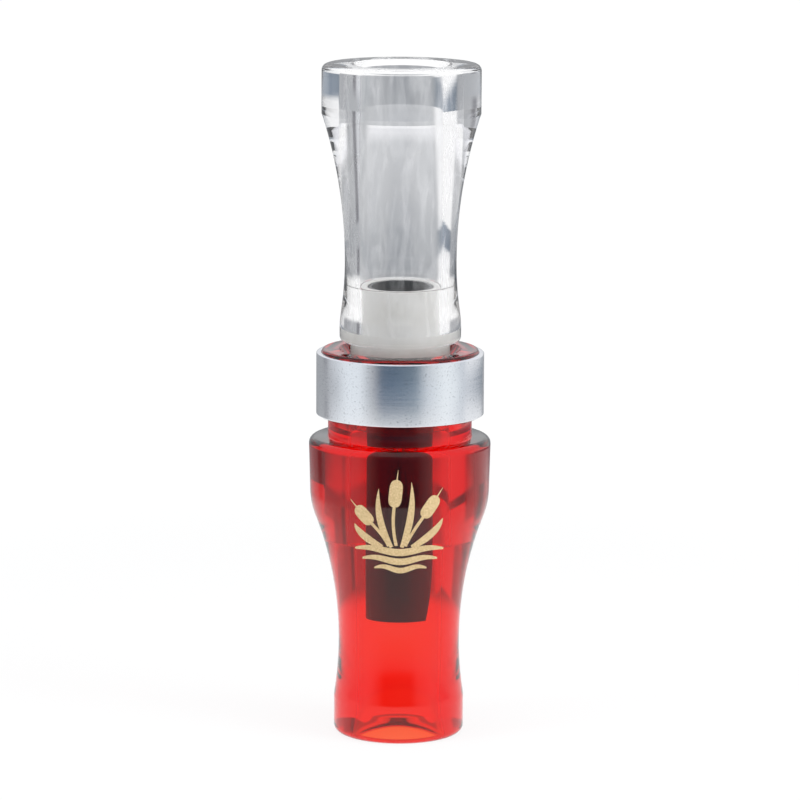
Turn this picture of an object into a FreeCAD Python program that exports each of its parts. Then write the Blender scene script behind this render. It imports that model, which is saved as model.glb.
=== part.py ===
import FreeCAD, Part
import math
import os

# Duck call, standing on its mouthpiece end.
# Frame: origin on the axis at the bottom, +Z up along the axis, front towards -Y.
# Sizes in millimetres. R_ values are radii, Z_ values are heights above the mouthpiece end.

# Barrel: turned from one bar of red acrylic
Z_BARREL_TOP = 74.7
R_LIP = 12.48
LIP_EDGE = 1.4
R_WAIST = 11.60
Z_WAIST = 18.2
WAIST_HOLLOW = 67.0
Z_WAIST_END = 42.4
SHOULDER_BULGE = 15.0
SHOULDER_TAPER = 1.9
R_SHOULDER = 17.37
Z_SHOULDER_TOP = 57.8
SHOULDER_EDGE = 1.3
R_NECK = 13.74
Z_NECK_TOP = 62.08
R_SPIGOT = 15.0
SPIGOT_EDGE = 0.5
R_AIRWAY = 8.0
R_AIRWAY_MOUTH = 8.7
Z_AIRWAY_FLARE = 3.6
R_SOCKET = 9.65
Z_SOCKET_FLOOR = 38.5
R_SOCKET_MOUTH = 11.75

# Band: aluminium ring pressed over the spigot
R_BAND = 16.0
BAND_HEIGHT = 12.0
BAND_SEAT_GAP = 0.02
BAND_EDGE = 0.3

# Insert: clear acrylic exhaust bell with a tenon that plugs into the barrel
Z_TOP = 129.0
Z_BELL_BASE = 76.2
R_TENON = 9.55
Z_TENON_END = 60.0
TENON_EDGE = 0.6
R_BELL_BASE = 11.56
BELL_BASE_EDGE = 0.9
R_BELL_WAIST = 10.62
Z_BELL_WAIST = 91.5
BELL_FLARE_HOLLOW = 91.0
BELL_FOOT_HOLLOW = 66.0
BELL_FOOT_BULGE = 26.0
Z_BELL_FOOT = 82.0
Z_BELL_FLARE_END = 118.7
R_COLLAR = 15.11
Z_COLLAR = 119.6
COLLAR_EDGE = 1.2
R_EXHAUST = 7.94
R_EXHAUST_FLARE = 9.6
EXHAUST_FLARE_DEPTH = 0.9
Z_SLEEVE_SEAT = 86.7
R_SLEEVE_BORE = 7.60

# Two O-rings in grooves round the tenon
O_RING_SECTION = 1.2
O_RING_CENTRE_R = 9.02
O_RING_FLATS = 6
O_RING_HEIGHTS = {"lower_o_ring": 64.6, "upper_o_ring": 70.2}
R_GROOVE_FLOOR = 8.40
GROOVE_WIDTH = 1.5

# White sleeve that holds the guts in the insert
R_SLEEVE = 7.55
R_SLEEVE_INNER = 6.40
SLEEVE_LENGTH = 23.6
SLEEVE_EDGE = 0.2

# Tone board: a moulded rod, tubular at its top, with a curved reed table below
R_BOARD = 6.35
Z_BOARD_TOP = 86.4
Z_BOARD_TIP = 23.0
REED_SIDE_ANGLE = 72.0
TABLE_HEIGHT = 0.6
TABLE_TIP_HEIGHT = -2.6
Z_TABLE_CURVE = 46.0
Z_SLOT_REAR = 61.0
Z_SLOT_MOUTH = 50.0
SLOT_ROOF_HEIGHT = 4.3
ROOF_RAMP = 2.2
R_BOARD_MOUTH = 5.6
Z_BOARD_MOUTH_END = 80.0
R_BOARD_BORE = 4.0
Z_BOARD_BORE_END = 66.0
THROAT_DEPTH = 3.0
CHANNEL_WIDTH = 4.4
CHANNEL_LIP = 1.9
CHANNEL_TIP_FLOOR = -2.45
CHANNEL_REAR_FLOOR = -3.3
CHANNEL_CORNER = 1.4

# Reeds: two polyester strips, one on the other, pinched in the slot
REED_WIDTH = 10.4
REED_REAR_GAP = 0.4
REED_CURVE_RADIUS = 200.0
REED_TIP_CROWN = 1.1
REED_TIP_GAP = 0.5
REED_SPACING = 0.02
LOWER_REED_THICKNESS = 0.35
UPPER_REED_THICKNESS = 0.25
UPPER_REED_SETBACK = 1.6

# Wedge: cork block pushed in over the reeds
R_WEDGE = 6.25
WEDGE_STAND_OUT = 2.6
WEDGE_NOSE_DROP = 1.3

Z_AXIS = FreeCAD.Vector(0, 0, 1)
ORIGIN = FreeCAD.Vector(0, 0, 0)


def at(r, z):
    """A point of an outline: distance r from the axis along +X, height z."""
    return FreeCAD.Vector(r, 0, z)


def line(start, end):
    return Part.LineSegment(at(*start), at(*end)).toShape()


def arc(start, middle, end):
    return Part.Arc(at(*start), at(*middle), at(*end)).toShape()


def eased(start, corner, end):
    """A square edge eased by two flats, through the middle of the quarter round it stands for."""
    reach = 1 - 1 / math.sqrt(2)
    middle = (
        corner[0] + (start[0] + end[0] - 2 * corner[0]) * reach,
        corner[1] + (start[1] + end[1] - 2 * corner[1]) * reach,
    )
    return polyline([start, middle, end])


def hollow_r(centre, radius, z):
    """Distance from the axis, at height z, of a hollow whose arc has its centre outside."""
    return centre[0] - math.sqrt(radius**2 - (z - centre[1]) ** 2)


def hollow(centre, radius, z_start, z_end):
    """The arc of a waist between two heights."""
    z_middle = (z_start + z_end) / 2
    start, middle, end = [(hollow_r(centre, radius, z), z) for z in (z_start, z_middle, z_end)]
    return arc(start, middle, end)


def bulge_centre(centre, radius, z, bulge):
    """Centre of a bulging arc that carries a hollow on smoothly from height z."""
    r = hollow_r(centre, radius, z)
    return (r + (r - centre[0]) / radius * bulge, z + (z - centre[1]) / radius * bulge)


def on_bulge(centre, radius, degrees):
    """The point of a bulging arc in a direction above or below the horizontal."""
    angle = math.radians(degrees)
    return (centre[0] + radius * math.cos(angle), centre[1] + radius * math.sin(angle))


def direction(centre, point):
    return math.degrees(math.atan2(point[1] - centre[1], point[0] - centre[0]))


def bulging(centre, radius, start, end):
    """A bulging arc between two directions from its centre, in degrees."""
    start_point, middle, end_point = [
        on_bulge(centre, radius, degrees) for degrees in (start, (start + end) / 2, end)
    ]
    return arc(start_point, middle, end_point)


def turned(edges):
    """The solid turned round the axis from a closed outline of edges in the XZ plane."""
    wire = Part.Wire(edges)
    return Part.Face(wire).revolve(ORIGIN, Z_AXIS, 360)


def polyline(points):
    return [line(points[i], points[i + 1]) for i in range(len(points) - 1)]


def bar_through(edges, width):
    """The outline carried through the full width of the reed side, centred on the axis."""
    face = Part.Face(Part.Wire(edges))
    face.translate(FreeCAD.Vector(0, -width / 2, 0))
    return face.extrude(FreeCAD.Vector(0, width, 0))


def turn_to_reed_side(shape):
    """Turn a piece made with its reed side along +X to where the reeds face in the call."""
    shape.rotate(ORIGIN, Z_AXIS, REED_SIDE_ANGLE)
    return shape


def barrel():
    lip_flat = (R_LIP - LIP_EDGE, 0)
    lip_side = (R_LIP, LIP_EDGE)
    waist = (R_WAIST + WAIST_HOLLOW, Z_WAIST)
    z_waist_start = Z_WAIST - math.sqrt(WAIST_HOLLOW**2 - (waist[0] - R_LIP) ** 2)
    bulge = bulge_centre(waist, WAIST_HOLLOW, Z_WAIST_END, SHOULDER_BULGE)
    waist_end = (hollow_r(waist, WAIST_HOLLOW, Z_WAIST_END), Z_WAIST_END)
    bulge_end = on_bulge(bulge, SHOULDER_BULGE, -SHOULDER_TAPER)
    shoulder_side = (R_SHOULDER, Z_SHOULDER_TOP - SHOULDER_EDGE)
    shoulder_flat = (R_SHOULDER - SHOULDER_EDGE, Z_SHOULDER_TOP)
    socket_flare = R_SOCKET_MOUTH - R_SOCKET
    outside = [
        *eased(lip_flat, (R_LIP, 0), lip_side),
        line(lip_side, (R_LIP, z_waist_start)),
        hollow(waist, WAIST_HOLLOW, z_waist_start, Z_WAIST_END),
        bulging(bulge, SHOULDER_BULGE, direction(bulge, waist_end), -SHOULDER_TAPER),
        line(bulge_end, shoulder_side),
        *eased(shoulder_side, (R_SHOULDER, Z_SHOULDER_TOP), shoulder_flat),
    ]
    neck_and_inside = polyline(
        [
            shoulder_flat,
            (R_NECK, Z_SHOULDER_TOP),
            (R_NECK, Z_NECK_TOP),
            (R_SPIGOT, Z_NECK_TOP),
            (R_SPIGOT, Z_BARREL_TOP - SPIGOT_EDGE),
            (R_SPIGOT - SPIGOT_EDGE, Z_BARREL_TOP),
            (R_SOCKET_MOUTH, Z_BARREL_TOP),
            (R_SOCKET, Z_BARREL_TOP - socket_flare),
            (R_SOCKET, Z_SOCKET_FLOOR),
            (R_AIRWAY, Z_SOCKET_FLOOR),
            (R_AIRWAY, Z_AIRWAY_FLARE),
            (R_AIRWAY_MOUTH, 0),
            lip_flat,
        ]
    )
    return turned(outside + neck_and_inside)


def band():
    inner = R_SPIGOT + BAND_SEAT_GAP
    top = Z_NECK_TOP + BAND_HEIGHT
    return turned(
        polyline(
            [
                (inner, Z_NECK_TOP),
                (R_BAND - BAND_EDGE, Z_NECK_TOP),
                (R_BAND, Z_NECK_TOP + BAND_EDGE),
                (R_BAND, top - BAND_EDGE),
                (R_BAND - BAND_EDGE, top),
                (inner, top),
                (inner, Z_NECK_TOP),
            ]
        )
    )


def groove(centre_z):
    """The outline points of one O-ring groove, from its lower edge to its upper edge."""
    low = centre_z - GROOVE_WIDTH / 2
    high = centre_z + GROOVE_WIDTH / 2
    return [(R_TENON, low), (R_GROOVE_FLOOR, low), (R_GROOVE_FLOOR, high), (R_TENON, high)]


def exhaust_bell():
    base_flat = (R_BELL_BASE - BELL_BASE_EDGE, Z_BELL_BASE)
    base_side = (R_BELL_BASE, Z_BELL_BASE + BELL_BASE_EDGE)
    tenon = [(R_SLEEVE_BORE, Z_TENON_END), (R_TENON - TENON_EDGE, Z_TENON_END)]
    tenon.append((R_TENON, Z_TENON_END + TENON_EDGE))
    for ring_z in sorted(O_RING_HEIGHTS.values()):
        tenon += groove(ring_z)
    tenon += [(R_TENON, Z_BELL_BASE), base_flat]
    foot = (R_BELL_WAIST + BELL_FOOT_HOLLOW, Z_BELL_WAIST)
    flare = (R_BELL_WAIST + BELL_FLARE_HOLLOW, Z_BELL_WAIST)
    foot_bulge = bulge_centre(foot, BELL_FOOT_HOLLOW, Z_BELL_FOOT, BELL_FOOT_BULGE)
    foot_top = (hollow_r(foot, BELL_FOOT_HOLLOW, Z_BELL_FOOT), Z_BELL_FOOT)
    flare_end = (hollow_r(flare, BELL_FLARE_HOLLOW, Z_BELL_FLARE_END), Z_BELL_FLARE_END)
    collar_side = (R_COLLAR, Z_TOP - COLLAR_EDGE)
    collar_flat = (R_COLLAR - COLLAR_EDGE, Z_TOP)
    exhaust = [
        collar_flat,
        (R_EXHAUST_FLARE, Z_TOP),
        (R_EXHAUST, Z_TOP - EXHAUST_FLARE_DEPTH),
        (R_EXHAUST, Z_SLEEVE_SEAT),
        (R_SLEEVE_BORE, Z_SLEEVE_SEAT),
        tenon[0],
    ]
    edges = polyline(tenon)
    edges += eased(base_flat, (R_BELL_BASE, Z_BELL_BASE), base_side)
    edges.append(line(base_side, on_bulge(foot_bulge, BELL_FOOT_BULGE, 0)))
    edges.append(bulging(foot_bulge, BELL_FOOT_BULGE, 0, direction(foot_bulge, foot_top)))
    edges.append(hollow(foot, BELL_FOOT_HOLLOW, Z_BELL_FOOT, Z_BELL_WAIST))
    edges.append(hollow(flare, BELL_FLARE_HOLLOW, Z_BELL_WAIST, Z_BELL_FLARE_END))
    edges += polyline([flare_end, (R_COLLAR, Z_COLLAR), collar_side])
    edges += eased(collar_side, (R_COLLAR, Z_TOP), collar_flat)
    return turned(edges + polyline(exhaust))


def gut_sleeve():
    top = Z_SLEEVE_SEAT - 0.1
    bottom = top - SLEEVE_LENGTH
    return turned(
        polyline(
            [
                (R_SLEEVE_INNER, bottom),
                (R_SLEEVE - SLEEVE_EDGE, bottom),
                (R_SLEEVE, bottom + SLEEVE_EDGE),
                (R_SLEEVE, top - SLEEVE_EDGE),
                (R_SLEEVE - SLEEVE_EDGE, top),
                (R_SLEEVE_INNER, top),
                (R_SLEEVE_INNER, bottom),
            ]
        )
    )


def o_ring(centre_z):
    """A ring whose section is a circle drawn with a few flats, one of them against the socket."""
    half_turn = math.pi / O_RING_FLATS
    reach = O_RING_SECTION / 2 / math.cos(half_turn)
    section = []
    for i in range(O_RING_FLATS + 1):
        angle = (2 * i + 1) * half_turn
        section.append((O_RING_CENTRE_R + reach * math.cos(angle), centre_z + reach * math.sin(angle)))
    return turned(polyline(section))


def curve_drop(radius, below):
    """How far an arc of this radius has fallen from its tangent after running this far."""
    return radius - math.sqrt(radius**2 - below**2)


def reed_table_cut():
    """What is taken off the reed side: the wedge slot, and all above the curved table."""
    run = Z_TABLE_CURVE - Z_BOARD_TIP
    drop = TABLE_HEIGHT - TABLE_TIP_HEIGHT
    table_radius = (run**2 + drop**2) / (2 * drop)
    middle = (TABLE_HEIGHT - curve_drop(table_radius, run / 2), Z_TABLE_CURVE - run / 2)
    tip = (TABLE_TIP_HEIGHT, Z_BOARD_TIP)
    outside = R_BOARD + 2
    below = Z_BOARD_TIP - 1
    edges = [line((TABLE_HEIGHT, Z_SLOT_REAR), (TABLE_HEIGHT, Z_TABLE_CURVE))]
    edges.append(arc((TABLE_HEIGHT, Z_TABLE_CURVE), middle, tip))
    edges += polyline(
        [
            tip,
            (TABLE_TIP_HEIGHT, below),
            (outside, below),
            (outside, Z_SLOT_MOUTH + ROOF_RAMP),
            (SLOT_ROOF_HEIGHT, Z_SLOT_MOUTH),
            (SLOT_ROOF_HEIGHT, Z_SLOT_REAR),
            (TABLE_HEIGHT, Z_SLOT_REAR),
        ]
    )
    return bar_through(edges, 2 * outside)


def air_channel():
    """The groove down the middle of the table, deeper towards the bore that it runs into."""
    start = Z_BOARD_TIP + CHANNEL_LIP
    end = Z_BOARD_BORE_END + 1
    outline = [
        (CHANNEL_TIP_FLOOR, start),
        (TABLE_HEIGHT, start),
        (TABLE_HEIGHT, end),
        (CHANNEL_REAR_FLOOR, end),
        (CHANNEL_TIP_FLOOR, start),
    ]
    cutter = bar_through(polyline(outline), CHANNEL_WIDTH)
    floor_edges = [
        edge
        for edge in cutter.Edges
        if all(vertex.X < CHANNEL_TIP_FLOOR + 0.01 for vertex in edge.Vertexes)
        and abs(edge.Vertexes[0].Z - edge.Vertexes[1].Z) > 1
    ]
    return cutter.makeFillet(CHANNEL_CORNER, floor_edges)


def tone_board():
    rod = turned(
        polyline(
            [
                (0, Z_BOARD_TIP),
                (R_BOARD, Z_BOARD_TIP),
                (R_BOARD, Z_BOARD_TOP),
                (R_BOARD_MOUTH, Z_BOARD_TOP),
                (R_BOARD_MOUTH, Z_BOARD_MOUTH_END),
                (R_BOARD_BORE, Z_BOARD_MOUTH_END - (R_BOARD_MOUTH - R_BOARD_BORE)),
                (R_BOARD_BORE, Z_BOARD_BORE_END),
                (CHANNEL_WIDTH / 2, Z_BOARD_BORE_END - THROAT_DEPTH),
                (0, Z_BOARD_BORE_END - THROAT_DEPTH),
                (0, Z_BOARD_TIP),
            ]
        )
    )
    board = rod.cut(reed_table_cut())
    board = board.cut(air_channel())
    return turn_to_reed_side(board.removeSplitter())


def reed_plan(tip_z):
    """The reed seen face on: a strip with a crowned tip and small rear corners."""
    half = REED_WIDTH / 2
    rear = Z_SLOT_REAR - REED_REAR_GAP
    corner = 0.8

    def spot(y, z):
        return FreeCAD.Vector(TABLE_TIP_HEIGHT - 2, y, z)

    crown = Part.Arc(
        spot(-half, tip_z + REED_TIP_CROWN), spot(0, tip_z), spot(half, tip_z + REED_TIP_CROWN)
    )
    outline = [
        spot(half, tip_z + REED_TIP_CROWN),
        spot(half, rear - corner),
        spot(half - corner, rear),
        spot(corner - half, rear),
        spot(-half, rear - corner),
        spot(-half, tip_z + REED_TIP_CROWN),
    ]
    edges = [crown.toShape()]
    for i in range(len(outline) - 1):
        edges.append(Part.LineSegment(outline[i], outline[i + 1]).toShape())
    return Part.Face(Part.Wire(edges)).extrude(FreeCAD.Vector(SLOT_ROOF_HEIGHT + 6, 0, 0))


def reed(bottom, thickness, tip_z):
    """A strip that lies flat under the wedge and then bends gently towards the table.

    Both reeds bend about the same line, so that they stay one reed spacing apart.
    """
    rear = Z_SLOT_REAR - REED_REAR_GAP
    top = bottom + thickness
    run = Z_TABLE_CURVE - tip_z + 1
    low = REED_CURVE_RADIUS + bottom
    high = low + thickness
    bottom_end = (bottom - curve_drop(low, run), Z_TABLE_CURVE - run)
    bottom_middle = (bottom - curve_drop(low, run / 2), Z_TABLE_CURVE - run / 2)
    top_end = (top - curve_drop(high, run), Z_TABLE_CURVE - run)
    top_middle = (top - curve_drop(high, run / 2), Z_TABLE_CURVE - run / 2)
    edges = [
        line((bottom, rear), (bottom, Z_TABLE_CURVE)),
        arc((bottom, Z_TABLE_CURVE), bottom_middle, bottom_end),
        line(bottom_end, top_end),
        arc(top_end, top_middle, (top, Z_TABLE_CURVE)),
        line((top, Z_TABLE_CURVE), (top, rear)),
        line((top, rear), (bottom, rear)),
    ]
    strip = bar_through(edges, REED_WIDTH + 2)
    return turn_to_reed_side(strip.common(reed_plan(tip_z)))


def reed_wedge():
    bottom = TABLE_HEIGHT + LOWER_REED_THICKNESS + REED_SPACING + UPPER_REED_THICKNESS
    rear = Z_SLOT_REAR - REED_REAR_GAP
    nose = Z_SLOT_MOUTH - WEDGE_STAND_OUT
    outline = [
        (bottom, rear),
        (bottom, nose),
        (SLOT_ROOF_HEIGHT - WEDGE_NOSE_DROP, nose),
        (SLOT_ROOF_HEIGHT, Z_SLOT_MOUTH),
        (SLOT_ROOF_HEIGHT, rear),
        (bottom, rear),
    ]
    block = bar_through(polyline(outline), REED_WIDTH - 0.4)
    rod = Part.makeCylinder(R_WEDGE, Z_SLOT_REAR - nose + 1, FreeCAD.Vector(0, 0, nose))
    return turn_to_reed_side(block.common(rod))


def pieces():
    tip = Z_BOARD_TIP + REED_TIP_GAP
    made = {
        "barrel": barrel(),
        "band": band(),
        "exhaust_bell": exhaust_bell(),
        "gut_sleeve": gut_sleeve(),
        "tone_board": tone_board(),
        "lower_reed": reed(TABLE_HEIGHT, LOWER_REED_THICKNESS, tip),
        "upper_reed": reed(
            TABLE_HEIGHT + LOWER_REED_THICKNESS + REED_SPACING,
            UPPER_REED_THICKNESS,
            tip + UPPER_REED_SETBACK,
        ),
        "reed_wedge": reed_wedge(),
    }
    for name, height in O_RING_HEIGHTS.items():
        made[name] = o_ring(height)
    return made


os.makedirs("parts", exist_ok=True)
for name, shape in pieces().items():
    solids = shape.Solids
    print(f"{name:14s} solids {len(solids)} valid {shape.isValid()} volume {shape.Volume:9.2f} mm3")
    solid = solids[0] if len(solids) == 1 else Part.makeCompound(solids)
    solid.exportStep(f"parts/{name}.step")
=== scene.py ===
import math

import bpy
import numpy as np
from mathutils import Matrix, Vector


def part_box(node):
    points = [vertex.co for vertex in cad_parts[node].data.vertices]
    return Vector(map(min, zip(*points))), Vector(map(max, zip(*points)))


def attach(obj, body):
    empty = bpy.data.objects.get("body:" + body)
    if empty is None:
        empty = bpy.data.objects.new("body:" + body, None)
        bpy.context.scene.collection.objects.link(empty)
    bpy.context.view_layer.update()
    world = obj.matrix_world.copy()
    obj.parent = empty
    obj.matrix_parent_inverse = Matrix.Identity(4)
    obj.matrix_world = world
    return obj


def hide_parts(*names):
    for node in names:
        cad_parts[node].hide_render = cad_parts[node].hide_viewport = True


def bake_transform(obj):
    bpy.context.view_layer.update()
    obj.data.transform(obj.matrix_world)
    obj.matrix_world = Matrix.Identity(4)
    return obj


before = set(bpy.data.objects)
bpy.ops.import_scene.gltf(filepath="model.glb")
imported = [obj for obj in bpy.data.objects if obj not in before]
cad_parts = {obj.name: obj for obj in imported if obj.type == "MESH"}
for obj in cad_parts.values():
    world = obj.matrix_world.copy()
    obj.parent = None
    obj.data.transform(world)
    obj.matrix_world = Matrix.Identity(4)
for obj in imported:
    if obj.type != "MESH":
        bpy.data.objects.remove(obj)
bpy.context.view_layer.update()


# Barrel: the red half that the hunter blows into, turned from one bar of translucent acrylic and
# polished. Its outline is a lip, a waist, a shoulder, a lanyard neck and a spigot under the band,
# and it is drilled through: a narrow airway below and a wide socket for the insert above.
MM = 0.001
SEGMENTS = 192
SAME_POINT = 1e-8


def hollow(centre, radius, z_start, z_end, steps=24):
    """Points of a waist: an arc whose centre (r, z) lies outside, between two heights."""
    z = np.linspace(z_start, z_end, steps)
    return np.stack([centre[0] - np.sqrt(radius**2 - (z - centre[1]) ** 2), z], axis=1)


def bulge(end_of_hollow, centre, radius, bulge_radius, to_degrees, steps=14):
    """Points of a bulging arc that carries a hollow on smoothly from its last point, round to the
    direction to_degrees above the horizontal, seen from the arc's own centre."""
    outward = (np.array(centre) - end_of_hollow) / radius
    own_centre = end_of_hollow - outward * bulge_radius
    angles = np.linspace(math.atan2(outward[1], outward[0]), math.radians(to_degrees), steps)
    ring = np.stack([np.cos(angles), np.sin(angles)], axis=1)
    return own_centre + bulge_radius * ring


def rounded(corners, steps=6):
    """A path through corners (r, z, radius): each corner is a circular arc of that radius whose
    tangents are the two straight runs that meet there."""
    path = []
    for i, (r, z, radius) in enumerate(corners):
        corner = np.array([r, z])
        if radius == 0 or i in (0, len(corners) - 1):
            path.append(corner[None])
            continue
        before = np.array(corners[i - 1][:2]) - corner
        after = np.array(corners[i + 1][:2]) - corner
        before /= np.linalg.norm(before)
        after /= np.linalg.norm(after)
        half = math.acos(np.clip(before @ after, -1, 1)) / 2
        reach = radius / math.tan(half)
        bisector = (before + after) / np.linalg.norm(before + after)
        centre = corner + bisector * radius / math.sin(half)
        first = corner + before * reach - centre
        last = corner + after * reach - centre
        turn = math.atan2(first[0] * last[1] - first[1] * last[0], first @ last)
        angle = np.linspace(0, turn, steps)[:, None]
        side = np.array([-first[1], first[0]])
        path.append(centre + np.cos(angle) * first + np.sin(angle) * side)
    return np.vstack(path)


def new_piece(name, points, faces, smooth=False):
    """An object at the origin with a mesh of its own, from points in metres and faces."""
    mesh = bpy.data.meshes.new(name)
    mesh.from_pydata(points.tolist(), [], faces.tolist())
    if smooth:
        mesh.shade_smooth()
    piece = bpy.data.objects.new(name, mesh)
    bpy.context.scene.collection.objects.link(piece)
    return piece


def lathe(name, profile, segments=SEGMENTS):
    """A closed profile of (r, z) in millimetres swept round the Z axis: point (i, j) of the grid
    is profile point i turned by j equal steps. A profile that runs clockwise in the r, z plane is
    reversed, so that the faces look outward."""
    profile = np.array(profile) * MM
    keep = np.linalg.norm(np.roll(profile, -1, axis=0) - profile, axis=1) > SAME_POINT
    profile = profile[keep]
    following = np.roll(profile, -1, axis=0)
    area = np.sum(profile[:, 0] * following[:, 1] - following[:, 0] * profile[:, 1])
    if area < 0:
        profile = profile[::-1]
    rows = len(profile)
    angle = np.linspace(0, 2 * np.pi, segments, endpoint=False)
    x = profile[:, :1] * np.cos(angle)
    y = profile[:, :1] * np.sin(angle)
    z = np.broadcast_to(profile[:, 1:], x.shape)
    points = np.stack([x, y, z], axis=-1).reshape(-1, 3)
    i = np.arange(rows)[:, None]
    j = np.arange(segments)[None]
    i_next = (i + 1) % rows
    j_next = (j + 1) % segments
    faces = np.stack(
        [i * segments + j, i * segments + j_next, i_next * segments + j_next, i_next * segments + j],
        axis=-1,
    ).reshape(-1, 4)
    return new_piece(name, points, faces, smooth=True)


def new_material(name):
    """A new material, its node tree and its Principled shader."""
    material = bpy.data.materials.new(name)
    material.use_nodes = True
    tree = material.node_tree
    return material, tree, tree.nodes["Principled BSDF"]


def feed(tree, node, **inputs):
    """Sets the named inputs of a node: a socket is linked, and any other value is written in."""
    for name, value in inputs.items():
        socket = node.inputs[name.replace("_", " ")]
        if isinstance(value, bpy.types.NodeSocket):
            tree.links.new(value, socket)
        else:
            socket.default_value = value


def add(tree, kind, **inputs):
    """A new shader node of a kind, with its named inputs set or linked."""
    node = tree.nodes.new("ShaderNode" + kind)
    feed(tree, node, **inputs)
    return node


def mix_shaders(tree, share, first, second):
    """The first shader where the share is 0 and the second where it is 1."""
    mix = add(tree, "MixShader", Fac=share)
    tree.links.new(first, mix.inputs[1])
    tree.links.new(second, mix.inputs[2])
    return mix.outputs[0]


def object_noise(tree, scale, detail=2.0, distortion=0.0):
    """Noise over Object coordinates, whose scale per metre is given for each axis."""
    place = add(tree, "TexCoord")
    scaled = add(tree, "Mapping", Vector=place.outputs["Object"], Scale=scale)
    noise = add(
        tree,
        "TexNoise",
        Vector=scaled.outputs["Vector"],
        Scale=1.0,
        Detail=detail,
        Distortion=distortion,
    )
    return noise.outputs["Fac"]


def tool_marks(tree, shader, around, along, strength, distance, detail=2.0):
    """Faint marks of a tool or a mould: noise with its own scales across and along the axis, as
    bump. Gives the noise back, so that the colour can follow it."""
    marks = object_noise(tree, (around, around, along), detail)
    bump = add(tree, "Bump", Strength=strength, Distance=distance, Height=marks)
    feed(tree, shader, Normal=bump.outputs["Normal"])
    return marks


def lets_lamps_through(tree, shader, tint):
    """Shadow rays pass as through a tinted window, so what is inside is lit."""
    path = add(tree, "LightPath")
    window = add(tree, "BsdfTransparent", Color=(*tint, 1))
    surface = mix_shaders(tree, path.outputs["Is Shadow Ray"], shader.outputs[0], window.outputs[0])
    feed(tree, tree.nodes["Material Output"], Surface=surface)


def acrylic(name, roughness, shadow_tint):
    """Polished cast acrylic, with the faint marks that turning leaves."""
    material, tree, shader = new_material(name)
    feed(
        tree,
        shader,
        Base_Color=(1, 1, 1, 1),
        Transmission_Weight=1.0,
        IOR=ACRYLIC_IOR,
        Roughness=roughness,
    )
    tool_marks(tree, shader, 60, 900, 0.02, 0.0001)
    lets_lamps_through(tree, shader, shadow_tint)
    return material


def dyed(material, colour, density):
    """Gives clear acrylic a colour in its depth, by absorption, so that thick walls look darker."""
    tree = material.node_tree
    volume = add(tree, "VolumeAbsorption", Color=(*colour, 1), Density=density)
    feed(tree, tree.nodes["Material Output"], Volume=volume.outputs[0])


ACRYLIC_IOR = 1.49
RED = (0.986, 0.40, 0.03)
RED_DENSITY = 940
RED_SHADOW = (0.85, 0.25, 0.2)
LIP_R = 12.48
LIP_ROUND = 1.4
LIP_TOP = 6.9
WAIST_CENTRE = (78.6, 18.2)
WAIST_HOLLOW = 67.0
WAIST_END = 42.4
SHOULDER_BULGE = 15.0
SHOULDER_TAPER = 1.9
SHOULDER_Z = 57.8
SHOULDER_ROUND = 1.3
SHOULDER_FOOT = (17.3, 54.0)
SHOULDER_SIDE = (17.37, 56.3)
SHOULDER_TURN = 3.0
NECK_R = 13.74
NECK_TOP = 62.08
SPIGOT_R = 15.0
BARREL_TOP = 74.7
SOCKET_R = 9.65
SOCKET_MOUTH_R = 11.75
SOCKET_MOUTH_BOTTOM = 72.6
SOCKET_FLOOR = 38.5
AIRWAY_R = 8.0
AIRWAY_MOUTH_R = 8.7
AIRWAY_FLARE = 3.6
EDGE = 0.15

waist_start = WAIST_CENTRE[1] - math.sqrt(WAIST_HOLLOW**2 - (WAIST_CENTRE[0] - LIP_R) ** 2)
waist = hollow(WAIST_CENTRE, WAIST_HOLLOW, waist_start, WAIST_END, 40)
shoulder = bulge(waist[-1], WAIST_CENTRE, WAIST_HOLLOW, SHOULDER_BULGE, -SHOULDER_TAPER)
barrel_wave = np.vstack([waist, shoulder[1:]])
barrel_foot = rounded(
    [
        (AIRWAY_R, AIRWAY_FLARE, 0),
        (AIRWAY_MOUTH_R, 0.0, 0.5),
        (LIP_R, 0.0, LIP_ROUND),
        (LIP_R, LIP_TOP, 0),
    ],
    steps=9,
)
barrel_head = rounded(
    [
        (*SHOULDER_FOOT, 0),
        (*SHOULDER_SIDE, SHOULDER_TURN),
        (SHOULDER_FOOT[0], SHOULDER_Z, SHOULDER_ROUND),
        (NECK_R, SHOULDER_Z, EDGE),
        (NECK_R, NECK_TOP, EDGE),
        (SPIGOT_R, NECK_TOP, EDGE),
        (SPIGOT_R, BARREL_TOP, 0.6),
        (SOCKET_MOUTH_R, BARREL_TOP, 0.35),
        (SOCKET_R, SOCKET_MOUTH_BOTTOM, 0.3),
        (SOCKET_R, SOCKET_FLOOR, EDGE),
        (AIRWAY_R, SOCKET_FLOOR, EDGE),
        (AIRWAY_R, AIRWAY_FLARE + 1, 0),
    ],
    steps=7,
)
barrel = lathe("red_barrel", np.vstack([barrel_foot, barrel_wave, barrel_head]))
red_acrylic = acrylic("red_acrylic", 0.015, RED_SHADOW)
dyed(red_acrylic, RED, RED_DENSITY)
barrel.data.materials.append(red_acrylic)
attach(barrel, "barrel")
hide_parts("barrel")


# Print: a small picture of bulrushes in water, stamped on the front of the barrel in gold foil. It
# is a film of foil a few hundredths of a millimetre thick that follows the hollow of the waist.
PRINT_BOTTOM = 35.9
PRINT_SCALE = 1.12
FOIL_LIFT = 0.012
FOIL_THICKNESS = 0.02
STRIP_STEPS = 26
STEM_HALF = 0.27
HEAD_HALF = 1.12
SPIKE_LENGTH = 1.7
LEAF_HALF = 0.86
LOW_LEAF_HALF = 1.0
barrel_outside = np.vstack([barrel_wave, barrel_head[:3]])


def barrel_r(z):
    """Radius of the barrel's outside at height z, read along its outline."""
    return np.interp(z, barrel_outside[:, 1], barrel_outside[:, 0])


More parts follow.
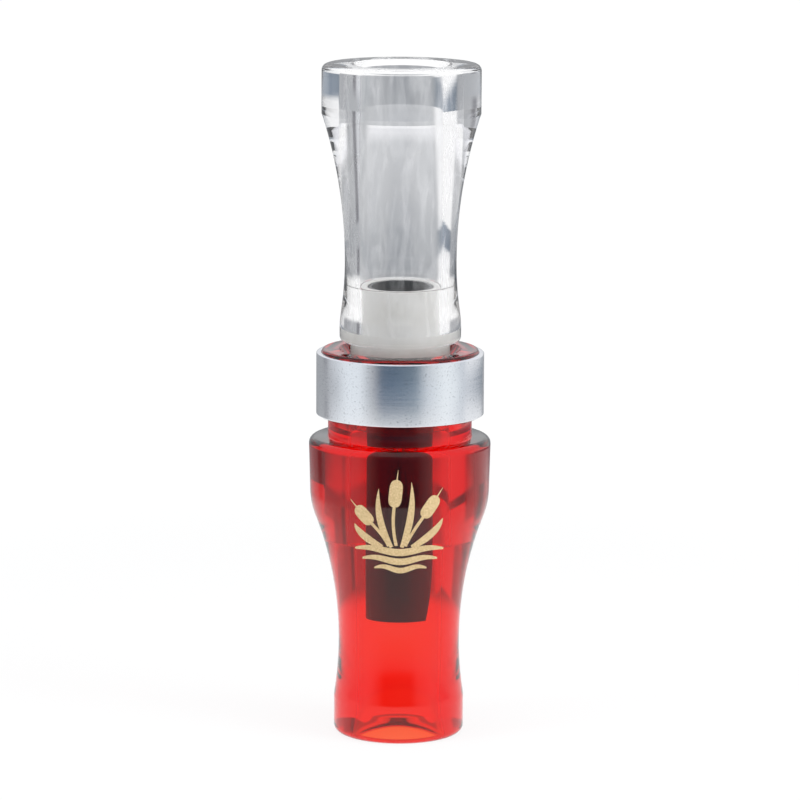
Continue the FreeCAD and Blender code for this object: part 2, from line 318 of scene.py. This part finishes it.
def grid_quads(number):
    """The faces between neighbouring rows and columns of a grid of point numbers."""
    return np.stack(
        [number[:-1, :-1], number[:-1, 1:], number[1:, 1:], number[1:, :-1]], axis=-1
    ).reshape(-1, 4)


def sheet_faces(inner, outer):
    """The faces of a thin closed sheet, from two grids of point numbers with equal rows and
    columns: both layers, and a wall round the rim, which is walked once round each grid."""
    rims = [
        np.concatenate([grid[0], grid[1:, -1], grid[-1, -2::-1], grid[-2:0:-1, 0]])
        for grid in (inner, outer)
    ]
    nexts = np.roll(np.arange(len(rims[0])), -1)
    wall = np.stack([rims[1], rims[1][nexts], rims[0][nexts], rims[0]], axis=-1)
    return np.vstack([grid_quads(outer)[:, ::-1], grid_quads(inner), wall])


def foil_strip(middle, half_width, columns=5):
    """A strip of foil. Row i crosses the middle line at point i, square to the line, and reaches
    half_width[i] to each side, all times the print's scale. A point (s, z) of it lies on the
    barrel at angle s / r(z) from the front."""
    middle = np.asarray(middle, float) * PRINT_SCALE
    along = np.gradient(middle, axis=0)
    along /= np.linalg.norm(along, axis=1, keepdims=True)
    across = np.stack([-along[:, 1], along[:, 0]], axis=1)
    steps = np.linspace(-1, 1, columns)
    reach = np.asarray(half_width)[:, None] * PRINT_SCALE * steps
    flat = middle[:, None] + across[:, None] * reach[..., None]
    s, z = flat[..., 0], flat[..., 1] + PRINT_BOTTOM
    surface = barrel_r(z)
    angle = s / surface
    layers = []
    for lift in (FOIL_LIFT, FOIL_LIFT + FOIL_THICKNESS):
        r = surface + lift
        layers.append(np.stack([r * np.sin(angle), -r * np.cos(angle), z], axis=-1))
    rows = len(middle)
    points = np.stack(layers).reshape(-1, 3) * MM
    number = np.arange(2 * rows * columns).reshape(2, rows, columns)
    return points, sheet_faces(*number)


def stem_line(foot, top, sway, steps=STRIP_STEPS):
    """A stem from foot to top, bowed sideways by sway at its middle: a parabola."""
    t = np.linspace(0, 1, steps)
    s = foot[0] + (top[0] - foot[0]) * t + 4 * sway * t * (1 - t)
    return np.stack([s, foot[1] + (top[1] - foot[1]) * t], axis=1)


def blunt(half, steps=STRIP_STEPS):
    """Half widths of a strip with round ends: half * sqrt(1 - t^4), for t from end to end."""
    t = np.linspace(-1, 1, steps) * 0.995
    return half * (1 - np.abs(t) ** 4.0) ** 0.5


def pointed(half, steps=STRIP_STEPS):
    """Half widths of a leaf, half * (0.35 + 1.9 t) * (1 - t) and a little more: it is widest two
    fifths of the way up and pointed at the tip."""
    t = np.linspace(0, 1, steps)
    return half * (0.35 + 1.9 * t) * (1 - t) + 0.015


def bulrush(foot, top, sway, head_length):
    """A stem, the seed head at its top and the spike above the head."""
    stem = stem_line(foot, top, sway)
    lean = (stem[-1] - stem[-3]) / np.linalg.norm(stem[-1] - stem[-3])
    head = stem[-1] + lean * np.linspace(0.0, head_length, STRIP_STEPS)[:, None]
    spike = head[-1] + lean * np.linspace(-0.05, SPIKE_LENGTH, 10)[:, None]
    return [
        (stem, np.full(STRIP_STEPS, STEM_HALF)),
        (head, blunt(HEAD_HALF)),
        (spike, np.linspace(0.13, 0.03, len(spike))),
    ]


def wave(left, right, z, half):
    """A ripple of water: one and a half waves of a sine, thin at both ends."""
    t = np.linspace(0, 1, 48)
    line = np.stack([left + (right - left) * t, z + 0.34 * np.sin(3 * np.pi * t)], axis=1)
    return line, half * np.sqrt(np.sin(np.pi * (0.02 + 0.96 * t)))


def ramp(tree, factor, stops):
    """A colour ramp over a socket, from stops of (position, colour)."""
    node = add(tree, "ValToRGB", Fac=factor)
    elements = node.color_ramp.elements
    for element, (position, colour) in ((elements[0], stops[0]), (elements[1], stops[-1])):
        element.position = position
        element.color = (*colour, 1)
    for position, colour in stops[1:-1]:
        elements.new(position).color = (*colour, 1)
    return node.outputs["Color"]


def gold_foil():
    """Stamped gold foil, a little worn: a warm, slightly metallic ink, and one fine grain for its
    tone and its bump."""
    material, tree, shader = new_material("gold_foil")
    grain = tool_marks(tree, shader, 3000, 3000, 0.25, 0.00002, detail=5.0)
    colour = ramp(tree, grain, [(0.25, (0.52, 0.37, 0.17)), (0.75, (0.78, 0.60, 0.34))])
    feed(tree, shader, Metallic=0.25, Roughness=0.5, Base_Color=colour)
    return material


print_strips = [
    *bulrush((-0.5, 3.1), (-0.9, 10.0), -0.3, 4.8),
    *bulrush((1.0, 3.0), (4.0, 8.2), -0.2, 4.4),
    *bulrush((-1.8, 3.0), (-4.7, 7.0), 0.3, 4.0),
    (stem_line((0.4, 2.8), (2.0, 14.4), 0.7), pointed(LEAF_HALF)),
    (stem_line((-1.3, 2.8), (-3.5, 13.2), -0.9), pointed(LEAF_HALF)),
    (stem_line((2.1, 2.8), (7.6, 7.9), 0.9), pointed(LOW_LEAF_HALF)),
    (stem_line((-2.9, 2.8), (-7.9, 6.8), -0.9), pointed(LOW_LEAF_HALF)),
    wave(-7.9, 7.9, 2.2, 0.66),
    wave(-6.5, 6.7, 0.5, 0.60),
    wave(-4.3, 4.7, -1.1, 0.50),
]
foil_points = []
foil_faces = []
points_before = 0
for middle, half_width in print_strips:
    points, faces = foil_strip(middle, half_width)
    foil_points.append(points)
    foil_faces.append(faces + points_before)
    points_before += len(points)
gold_print = new_piece("gold_print", np.vstack(foil_points), np.vstack(foil_faces))
gold_print.data.materials.append(gold_foil())
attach(gold_print, "barrel")


# Band: an aluminium ring turned from tube and pressed over the spigot of the barrel. Its outside is
# brushed round and a little pitted, and its edges are rounded off.
band_low, band_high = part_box("band")
BAND_R = band_high[0] / MM
BAND_BOTTOM = band_low[2] / MM
BAND_TOP = band_high[2] / MM
BAND_MIDDLE = (BAND_BOTTOM + BAND_TOP) / 2
BAND_INNER_R = SPIGOT_R + 0.02
BAND_ROUND = 0.3


def maths(tree, operation, *operands):
    """The result of a Math node, whose operands are sockets or numbers."""
    node = add(tree, "Math")
    node.operation = operation
    for socket, operand in zip(node.inputs, operands):
        if isinstance(operand, bpy.types.NodeSocket):
            tree.links.new(operand, socket)
        else:
            socket.default_value = operand
    return node.outputs[0]


def between(tree, value, low, high):
    """A socket's value, 0 to 1, spread over the range from low to high."""
    return add(tree, "MapRange", Value=value, To_Min=low, To_Max=high).outputs["Result"]


def brushed_aluminium():
    """Bare aluminium: fine streaks round the ring, as bump and roughness, and fine pits, as bump
    and a darker tone."""
    material, tree, shader = new_material("band_aluminium")
    streaks = object_noise(tree, (90, 90, 6000), detail=3.0)
    specks = object_noise(tree, (2600, 2600, 2600), detail=4.0)
    pits = ramp(tree, specks, [(0.28, (0, 0, 0)), (0.42, (1, 1, 1))])
    height = maths(tree, "MULTIPLY_ADD", streaks, 0.5, pits)
    bump = add(tree, "Bump", Strength=0.12, Distance=0.00003, Height=height)
    feed(
        tree,
        shader,
        Metallic=1.0,
        Base_Color=ramp(tree, pits, [(0, (0.62, 0.64, 0.67)), (1, (0.86, 0.88, 0.91))]),
        Roughness=between(tree, streaks, 0.16, 0.30),
        Normal=bump.outputs["Normal"],
    )
    return material


band = lathe(
    "aluminium_band",
    rounded(
        [
            (BAND_INNER_R, BAND_MIDDLE, 0),
            (BAND_INNER_R, BAND_BOTTOM, 0.1),
            (BAND_R, BAND_BOTTOM, BAND_ROUND),
            (BAND_R, BAND_TOP, BAND_ROUND),
            (BAND_INNER_R, BAND_TOP, 0.1),
            (BAND_INNER_R, BAND_MIDDLE, 0),
        ]
    ),
)
band.data.materials.append(brushed_aluminium())
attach(band, "barrel")
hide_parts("band")


# Insert: the clear acrylic half that the sound leaves by. A plug with two O-ring grooves, a turned
# bell with a waist and a collar, and a straight exhaust bore down to the seat of the sleeve.
def drilled_haze(material, bore_r, roughest, milkiest):
    """Inside a bore the drill leaves the acrylic patchy: noise stretched along the axis makes it
    rough and a little milky. Only points nearer to the axis than the bore's radius are touched."""
    tree = material.node_tree
    place = add(tree, "TexCoord")
    flat = add(tree, "Mapping", Vector=place.outputs["Object"], Scale=(1, 1, 0))
    from_axis = add(tree, "VectorMath", Vector=flat.outputs["Vector"])
    from_axis.operation = "LENGTH"
    inside = maths(tree, "LESS_THAN", from_axis.outputs["Value"], bore_r * MM)
    patches = object_noise(tree, (420, 420, 90), detail=5.0, distortion=0.9)
    worn = add(tree, "MapRange", Value=patches, From_Min=0.48, From_Max=0.68)
    share = maths(tree, "MULTIPLY", inside, worn.outputs["Result"])
    feed(
        tree,
        tree.nodes["Principled BSDF"],
        Roughness=between(tree, share, 0.0, roughest),
        Transmission_Weight=between(tree, share, 1.0, 1.0 - milkiest),
    )


bell_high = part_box("exhaust_bell")[1]
BELL_TOP = bell_high[2] / MM
COLLAR_R = bell_high[0] / MM
COLLAR_BOTTOM = 119.6
COLLAR_ROUND = 1.2
UNDER_COLLAR = (14.88, 119.05)
BELL_BASE = 76.2
BELL_BASE_R = 11.56
BELL_FLARE_CENTRE = (101.62, 91.5)
BELL_FLARE_HOLLOW = 91.0
BELL_FLARE_END = 118.7
BELL_FOOT_CENTRE = (76.62, 91.5)
BELL_FOOT_HOLLOW = 66.0
BELL_FOOT_TOP = 82.0
BELL_FOOT_BULGE = 26.0
TENON_R = 9.55
TENON_END = 60.0
EXHAUST_R = 7.94
EXHAUST_FLARE_R = 9.6
SLEEVE_BORE_R = 7.60
SLEEVE_SEAT = 86.7
GROOVE_FLOOR_R = 8.40
GROOVE_WIDTH = 1.5
CLEAR_SHADOW = (0.93, 0.93, 0.94)


def middle_height(node):
    """Height of the middle of a CAD node, in millimetres."""
    low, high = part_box(node)
    return (low[2] + high[2]) / 2 / MM


ring_heights = {name: middle_height(name) for name in ("lower_o_ring", "upper_o_ring")}

tenon_side = []
for ring_z in ring_heights.values():
    low, high = ring_z - GROOVE_WIDTH / 2, ring_z + GROOVE_WIDTH / 2
    tenon_side += [
        (TENON_R, low, 0.1),
        (GROOVE_FLOOR_R, low, 0.1),
        (GROOVE_FLOOR_R, high, 0.1),
        (TENON_R, high, 0.1),
    ]
bell_foot = rounded(
    [(SLEEVE_BORE_R, 72.0, 0), (SLEEVE_BORE_R, TENON_END, EDGE), (TENON_R, TENON_END, 0.5)]
    + tenon_side
    + [(TENON_R, BELL_BASE, 0.3), (BELL_BASE_R, BELL_BASE, 0.9), (BELL_BASE_R, 77.4, 0)],
    steps=6,
)
bell_flare = hollow(BELL_FLARE_CENTRE, BELL_FLARE_HOLLOW, BELL_FLARE_CENTRE[1], BELL_FLARE_END, 40)
bell_waist = hollow(BELL_FOOT_CENTRE, BELL_FOOT_HOLLOW, BELL_FLARE_CENTRE[1], BELL_FOOT_TOP, 16)
bell_bulge = bulge(bell_waist[-1], BELL_FOOT_CENTRE, BELL_FOOT_HOLLOW, BELL_FOOT_BULGE, 0)
bell_wave = np.vstack([bell_bulge[::-1], bell_waist[-2:0:-1], bell_flare])
bell_head = rounded(
    [
        (*UNDER_COLLAR, 0),
        (COLLAR_R, COLLAR_BOTTOM, 0.4),
        (COLLAR_R, BELL_TOP, COLLAR_ROUND),
        (EXHAUST_FLARE_R, BELL_TOP, 0.5),
        (EXHAUST_R, BELL_TOP - 0.9, 0.6),
        (EXHAUST_R, SLEEVE_SEAT, 0.1),
        (SLEEVE_BORE_R, SLEEVE_SEAT, 0.1),
        (SLEEVE_BORE_R, 73.0, 0),
    ],
    steps=9,
)
exhaust_bell = lathe("clear_exhaust_bell", np.vstack([bell_foot, bell_wave, bell_head]))
clear_acrylic = acrylic("clear_acrylic", 0.0, CLEAR_SHADOW)
drilled_haze(clear_acrylic, EXHAUST_R + 0.3, roughest=0.14, milkiest=0.15)
exhaust_bell.data.materials.append(clear_acrylic)
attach(exhaust_bell, "insert")
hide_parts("exhaust_bell")


# O-rings: two rings of black nitrile rubber rolled into the grooves. They seal the plug in the
# barrel and grip it, so that the insert stays where it is set.
RING_SECTION_R = 0.6
RING_CENTRE_R = 9.02


def ring_rubber():
    """Matt black rubber with a fine mould grain."""
    material, tree, shader = new_material("ring_rubber")
    grain = tool_marks(tree, shader, 2500, 2500, 0.3, 0.00003)
    colour = ramp(tree, grain, [(0, (0.012, 0.012, 0.013)), (1, (0.035, 0.035, 0.036))])
    feed(tree, shader, Roughness=0.55, Base_Color=colour)
    return material


rubber = ring_rubber()
section = np.linspace(0, 2 * np.pi, 20, endpoint=False)
for ring_name, ring_z in ring_heights.items():
    circle = np.stack(
        [RING_CENTRE_R + RING_SECTION_R * np.cos(section), ring_z + RING_SECTION_R * np.sin(section)],
        axis=1,
    )
    ring = lathe("rubber_" + ring_name, circle, segments=96)
    ring.data.materials.append(rubber)
    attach(ring, "o_rings")
    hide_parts(ring_name)


# Sleeve: a white plastic bush pushed up into the insert, which grips the round end of the tone
# board. Between two heights glue closes the gap to the clear wall, so that the white shows through.
sleeve_low, sleeve_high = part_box("gut_sleeve")
SLEEVE_R = sleeve_high[0] / MM
SLEEVE_INNER_R = 6.40
SLEEVE_GAP = 0.05
GLUE_DEPTH = 0.02
GLUE_BOTTOM = 72.0
GLUE_TOP = 78.0
SLEEVE_BOTTOM = sleeve_low[2] / MM
SLEEVE_TOP = sleeve_high[2] / MM
SLEEVE_MIDDLE = (SLEEVE_BOTTOM + SLEEVE_TOP) / 2


def white_plastic():
    """Satin off-white plastic with slow mottling and a fine grain."""
    material, tree, shader = new_material("white_sleeve")
    tool_marks(tree, shader, 300, 2500, 0.15, 0.00003)
    mottle = object_noise(tree, (180, 180, 180))
    colour = ramp(tree, mottle, [(0.3, (0.63, 0.62, 0.58)), (0.7, (0.73, 0.72, 0.69))])
    feed(tree, shader, Roughness=0.4, Base_Color=colour)
    return material


sleeve = lathe(
    "white_gut_sleeve",
    rounded(
        [
            (SLEEVE_INNER_R, SLEEVE_MIDDLE, 0),
            (SLEEVE_INNER_R, SLEEVE_BOTTOM, 0.2),
            (SLEEVE_BORE_R - SLEEVE_GAP, SLEEVE_BOTTOM, 0.2),
            (SLEEVE_BORE_R - SLEEVE_GAP, GLUE_BOTTOM, 0),
            (SLEEVE_BORE_R + GLUE_DEPTH, GLUE_BOTTOM + 0.3, 0),
            (SLEEVE_BORE_R + GLUE_DEPTH, GLUE_TOP, 0),
            (SLEEVE_R, GLUE_TOP + 0.3, 0),
            (SLEEVE_R, SLEEVE_TOP, 0.25),
            (SLEEVE_INNER_R, SLEEVE_TOP, 0.25),
            (SLEEVE_INNER_R, SLEEVE_MIDDLE, 0),
        ]
    ),
)
sleeve.data.materials.append(white_plastic())
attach(sleeve, "insert")
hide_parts("gut_sleeve")


# Tone board: the guts, one black moulding. Its round end sits in the sleeve, and below it the
# reed side is cut to a curved table with an air channel, under a roof that holds the wedge.
def board_plastic():
    """Moulded black plastic, satin, with a fine spark-eroded grain."""
    material, tree, shader = new_material("black_board")
    grain = tool_marks(tree, shader, 1800, 1800, 0.25, 0.00003)
    colour = ramp(tree, grain, [(0, (0.010, 0.011, 0.011)), (1, (0.040, 0.041, 0.042))])
    feed(tree, shader, Base_Color=colour, Roughness=between(tree, grain, 0.28, 0.5))
    return material


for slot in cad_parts["tone_board"].material_slots:
    slot.material = board_plastic()


# Reeds: two strips of clear polyester film, the upper one a little shorter. They lie flat under the
# wedge and bend gently to the tip, and both bend together when air passes the table.
def reed_film():
    """Milky clear polyester film with fine scuffs along it."""
    material, tree, shader = new_material("reed_film")
    feed(
        tree,
        shader,
        Base_Color=(0.86, 0.88, 0.86, 1),
        Transmission_Weight=0.55,
        IOR=1.57,
        Roughness=0.18,
    )
    tool_marks(tree, shader, 4000, 300, 0.2, 0.00002)
    lets_lamps_through(tree, shader, (0.8, 0.82, 0.8))
    return material


REED_SIDE = math.radians(72)
REED_HALF_WIDTH = 5.2
REED_REAR = 60.6
REED_BEND_START = 46.0
REED_BEND_RADIUS = 200.0
REED_CROWN = 1.1
REED_CORNER = 0.8


def reed(name, bottom, thickness, tip):
    """A reed as a closed grid: u runs from the rear edge to the crowned tip, v across. It is flat
    above the bend and then an arc about one far centre, so height = bottom - drop(z)."""
    u = np.concatenate([np.linspace(0, 0.06, 8), np.linspace(0.08, 1, 60)])
    v = np.linspace(-1, 1, 17)
    rear = REED_REAR - REED_CORNER * np.clip((np.abs(v) - 0.85) / 0.15, 0, 1)
    front = tip + REED_CROWN * v**2
    z = rear + (front - rear) * u[:, None]
    y = np.broadcast_to(REED_HALF_WIDTH * v, z.shape)
    below = np.clip(REED_BEND_START - z, 0, None)
    layers = []
    for height in (bottom, bottom + thickness):
        radius = REED_BEND_RADIUS + height
        x = height - (radius - np.sqrt(radius**2 - below**2))
        turned_x = x * math.cos(REED_SIDE) - y * math.sin(REED_SIDE)
        turned_y = x * math.sin(REED_SIDE) + y * math.cos(REED_SIDE)
        layers.append(np.stack([turned_x, turned_y, z], axis=-1))
    points = np.stack(layers).reshape(-1, 3) * MM
    number = np.arange(len(points)).reshape(2, *z.shape)
    return new_piece(name, points, sheet_faces(*number))


film = reed_film()
TABLE_HEIGHT = 0.6
TABLE_CLEARANCE = 0.004
REED_SPACING = 0.02
LOWER_REED_THICKNESS = 0.35
UPPER_REED_THICKNESS = 0.25
lower_bottom = TABLE_HEIGHT + TABLE_CLEARANCE
upper_bottom = TABLE_HEIGHT + LOWER_REED_THICKNESS + REED_SPACING
for reed_name, bottom, thickness in (
    ("lower_reed", lower_bottom, LOWER_REED_THICKNESS - TABLE_CLEARANCE),
    ("upper_reed", upper_bottom, UPPER_REED_THICKNESS),
):
    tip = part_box(reed_name)[0][2] / MM
    strip = reed("film_" + reed_name, bottom, thickness, tip)
    strip.data.materials.append(film)
    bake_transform(strip)
    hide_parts(reed_name)


# Wedge: a block of natural cork pushed in over the reeds, which it pinches against the table.
def cork():
    """Cork: tan of uneven tone with dark flecks, and cells as a shallow bump."""
    material, tree, shader = new_material("cork")
    place = add(tree, "TexCoord")
    cells = add(tree, "TexVoronoi", Vector=place.outputs["Object"], Scale=1300.0)
    flecks = object_noise(tree, (700, 700, 700), detail=5.0)
    colour = ramp(tree, flecks, [(0.32, (0.10, 0.045, 0.02)), (0.55, (0.50, 0.31, 0.15))])
    bump = add(tree, "Bump", Strength=0.6, Distance=0.0001, Height=cells.outputs["Distance"])
    feed(tree, shader, Roughness=0.75, Base_Color=colour, Normal=bump.outputs["Normal"])
    return material


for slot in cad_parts["reed_wedge"].material_slots:
    slot.material = cork()


# Studio: the surround that polished surfaces mirror and clear ones show. Azimuth 0 is towards the
# camera and positive to the right. A dark card stands behind the camera between two soft boxes, a
# large bright window is behind to the right, and a grey backdrop meets a white table behind.
MIDDLE = (0, 0, 0.065)
ROOM_LIGHT = (0.46, 0.47, 0.49)
TABLE_COLOUR = (1.03, 1.03, 1.03)
TABLE_MIDDLE = (0, 0.06, 0)
TABLE_NEAR = 0.10
TABLE_FAR = 0.24
CEILING_COLOUR = (0.86, 0.87, 0.92)
HORIZON = [
    (-180, (0.34, 0.36, 0.38)),
    (-120, (0.42, 0.43, 0.45)),
    (-94, (0.45, 0.47, 0.50)),
    (-78, (0.84, 0.88, 0.92)),
    (-56, (0.84, 0.88, 0.92)),
    (-42, (0.46, 0.49, 0.53)),
    (-33, (0.40, 0.43, 0.48)),
    (-27, (0.11, 0.17, 0.26)),
    (0, (0.15, 0.22, 0.32)),
    (22, (0.30, 0.38, 0.47)),
    (38, (0.66, 0.72, 0.80)),
    (66, (0.94, 0.98, 1.0)),
    (84, (0.94, 0.98, 1.0)),
    (100, (0.50, 0.54, 0.60)),
    (128, (0.24, 0.28, 0.34)),
    (160, (0.15, 0.18, 0.22)),
    (180, (0.34, 0.36, 0.38)),
]
OFF_HORIZON = [
    (-180, (0.38, 0.39, 0.40)),
    (-132, (0.42, 0.43, 0.45)),
    (-126, (0.20, 0.20, 0.22)),
    (-121, (0.20, 0.20, 0.22)),
    (-115, (0.56, 0.57, 0.60)),
    (-78, (0.84, 0.88, 0.92)),
    (-56, (0.84, 0.88, 0.92)),
    (-33, (0.30, 0.30, 0.32)),
    (-26, (0.07, 0.11, 0.17)),
    (22, (0.12, 0.17, 0.22)),
    (36, (0.60, 0.63, 0.66)),
    (66, (0.94, 0.98, 1.0)),
    (96, (0.60, 0.63, 0.68)),
    (104, (0.94, 0.94, 0.95)),
    (156, (0.94, 0.94, 0.95)),
    (164, (0.42, 0.43, 0.44)),
    (180, (0.42, 0.43, 0.44)),
]
BACKDROP = [
    (-16, (0.37, 0.38, 0.40)),
    (-12, (0.36, 0.37, 0.39)),
    (-9, (0.37, 0.38, 0.40)),
    (-5, (0.43, 0.44, 0.46)),
    (0, (0.49, 0.50, 0.52)),
    (4, (0.54, 0.55, 0.57)),
    (7, (0.56, 0.57, 0.59)),
    (10, (0.90, 0.90, 0.93)),
    (14, (1.0, 1.0, 1.0)),
]
BACKDROP_FROM = 148.0
BACKDROP_FULL = 164.0
HORIZON_LOW = (-12.0, -10.4)
HORIZON_HIGH = (-7.2, -6.2)
CEILING = (12.0, 22.0)
TABLE_EDGE = (-16.0, -19.0)
WHITE = (1, 1, 1)
FLOOR_GREY = (0.80, 0.80, 0.80)
FLOOR_GLOW = 1.03
FLOOR_WHITENESS = (0.84, 0.97)


def lamp(name, place, target, width, height, power):
    """A rectangular soft lamp at a place, facing a target point. No mirror or glass shows it."""
    data = bpy.data.lights.new(name, "AREA")
    data.shape = "RECTANGLE"
    data.size = width
    data.size_y = height
    data.energy = power
    holder = bpy.data.objects.new(name, data)
    holder.location = place
    aim = np.array(target) - np.array(place)
    yaw = math.atan2(aim[1], aim[0]) - math.pi / 2
    pitch = math.atan2(aim[2], math.hypot(aim[0], aim[1])) + math.pi / 2
    holder.rotation_euler = (pitch, 0, yaw)
    holder.visible_glossy = False
    holder.visible_transmission = False
    bpy.context.scene.collection.objects.link(holder)


def ramp_over_angle(tree, angle, stops):
    """A colour ramp whose stops are given in degrees, over the angle (in radians) of a socket."""
    low, high = stops[0][0], stops[-1][0]
    share = add(
        tree,
        "MapRange",
        Value=angle,
        From_Min=math.radians(low),
        From_Max=math.radians(high),
    )
    placed = [((degrees - low) / (high - low), colour) for degrees, colour in stops]
    return ramp(tree, share.outputs["Result"], placed)


def smooth_step(tree, value, start, end):
    """A smooth step of a socket, from 0 at the start to 1 at the end."""
    step = add(tree, "MapRange", Value=value, From_Min=start, From_Max=end)
    step.interpolation_type = "SMOOTHSTEP"
    return step.outputs["Result"]


def share_between(tree, angle, ends):
    """A smooth step of an angle from 0 at the first of two ends, in degrees, to 1 at the other."""
    return smooth_step(tree, angle, math.radians(ends[0]), math.radians(ends[1]))


def blend_colours(tree, share, first, second):
    """The first colour where the share is 0 and the second where it is 1. Each is a socket or RGB."""
    mix = add(tree, "Mix", Factor=share)
    mix.data_type = "RGBA"
    for socket, colour in ((mix.inputs[6], first), (mix.inputs[7], second)):
        if isinstance(colour, tuple):
            socket.default_value = (*colour, 1)
        else:
            tree.links.new(colour, socket)
    return mix.outputs[2]


def surround_colour(tree):
    """Colour of the surround by direction, from the tables of angles above."""
    place = add(tree, "TexCoord")
    parts = add(tree, "SeparateXYZ", Vector=place.outputs["Generated"])
    x, y, z = (parts.outputs[axis] for axis in "XYZ")
    azimuth = maths(tree, "ARCTAN2", x, maths(tree, "MULTIPLY", y, -1.0))
    height = maths(tree, "ARCSINE", z)
    off_horizon = maths(
        tree,
        "MAXIMUM",
        share_between(tree, height, HORIZON_HIGH),
        share_between(tree, height, HORIZON_LOW[::-1]),
    )
    around = blend_colours(
        tree,
        off_horizon,
        ramp_over_angle(tree, azimuth, HORIZON),
        ramp_over_angle(tree, azimuth, OFF_HORIZON),
    )
    behind = share_between(tree, maths(tree, "ABSOLUTE", azimuth), (BACKDROP_FROM, BACKDROP_FULL))
    around = blend_colours(tree, behind, around, ramp_over_angle(tree, height, BACKDROP))
    around = blend_colours(tree, share_between(tree, height, TABLE_EDGE), around, TABLE_COLOUR)
    return blend_colours(tree, share_between(tree, height, CEILING), around, CEILING_COLOUR)


lamp("left_softbox", (-0.50, -0.25, 0.16), MIDDLE, 0.16, 0.6, 2.0)
lamp("right_softbox", (0.42, -0.22, 0.16), MIDDLE, 0.24, 0.6, 2.6)
lamp("top_softbox", (0.0, -0.1, 0.7), MIDDLE, 0.5, 0.5, 2.0)

world = bpy.data.worlds.new("surround")
bpy.context.scene.world = world
world.use_nodes = True
world_tree = world.node_tree
room = world_tree.nodes["Background"]
feed(world_tree, room, Color=(*ROOM_LIGHT, 1))
ray = add(world_tree, "LightPath")
backdrop = blend_colours(
    world_tree, ray.outputs["Is Camera Ray"], surround_colour(world_tree), WHITE
)
shown = add(world_tree, "Background", Color=backdrop)
seen = maths(world_tree, "MAXIMUM", ray.outputs["Is Camera Ray"], ray.outputs["Is Glossy Ray"])
seen = maths(world_tree, "MAXIMUM", seen, ray.outputs["Is Transmission Ray"])
surface = mix_shaders(world_tree, seen, room.outputs[0], shown.outputs[0])
feed(world_tree, world_tree.nodes["World Output"], Surface=surface)

bpy.ops.mesh.primitive_plane_add(size=6, location=(0, 0, 0))
floor = bpy.context.object
floor.name = "pale_floor"
floor_material, floor_tree, floor_shader = new_material("pale_floor")
feed(
    floor_tree,
    floor_shader,
    Base_Color=(*FLOOR_GREY, 1),
    Roughness=0.9,
    Specular_IOR_Level=0.0,
)
floor_ray = add(floor_tree, "LightPath")
floor_place = add(floor_tree, "TexCoord")
from_middle = add(floor_tree, "VectorMath", Vector=floor_place.outputs["Object"])
from_middle.operation = "DISTANCE"
from_middle.inputs[1].default_value = TABLE_MIDDLE
edge = smooth_step(floor_tree, from_middle.outputs["Value"], TABLE_NEAR, TABLE_FAR)

# The camera sees the floor glow white, less so near the call, where its soft shadow stays.
glow = add(floor_tree, "Emission", Strength=FLOOR_GLOW)
whiteness = between(floor_tree, edge, *FLOOR_WHITENESS)
share = maths(floor_tree, "MULTIPLY", floor_ray.outputs["Is Camera Ray"], whiteness)
pale = mix_shaders(floor_tree, share, floor_shader.outputs[0], glow.outputs[0])

# The acrylic and the metal see the table glow close to the call, and the room beyond its edge.
table_glow = add(floor_tree, "Emission", Color=(*TABLE_COLOUR, 1))
clear_floor = add(floor_tree, "BsdfTransparent")
table = mix_shaders(floor_tree, edge, table_glow.outputs[0], clear_floor.outputs[0])
mirrored = maths(
    floor_tree, "MAXIMUM", floor_ray.outputs["Is Glossy Ray"], floor_ray.outputs["Is Transmission Ray"]
)
floor_seen = mix_shaders(floor_tree, mirrored, pale, table)
feed(floor_tree, floor_tree.nodes["Material Output"], Surface=floor_seen)
floor.data.materials.append(floor_material)


# Camera: in front of the object and a little above it, turned down by under ten degrees, with the
# slight tilt to the right that the picture has.
CAMERA_DISTANCE = 0.827
CAMERA_HEIGHT = 0.209
CAMERA_PITCH = 9.9
CAMERA_ROLL = 0.29
FOCAL_PIXELS = 4396
FRAME_PIXELS = 800
SENSOR = 36.0

camera_data = bpy.data.cameras.new("camera")
camera_data.sensor_width = SENSOR
camera_data.lens = FOCAL_PIXELS / FRAME_PIXELS * SENSOR
camera_data.clip_start = 0.01
camera = bpy.data.objects.new("camera", camera_data)
camera.location = (0, -CAMERA_DISTANCE, CAMERA_HEIGHT)
tilt = Matrix.Rotation(math.radians(90 - CAMERA_PITCH), 3, "X")
roll = Matrix.Rotation(math.radians(CAMERA_ROLL), 3, "Z")
camera.rotation_euler = (tilt @ roll).to_euler()
bpy.context.scene.collection.objects.link(camera)
bpy.context.scene.camera = camera
bpy.context.scene.view_settings.view_transform = "Standard"
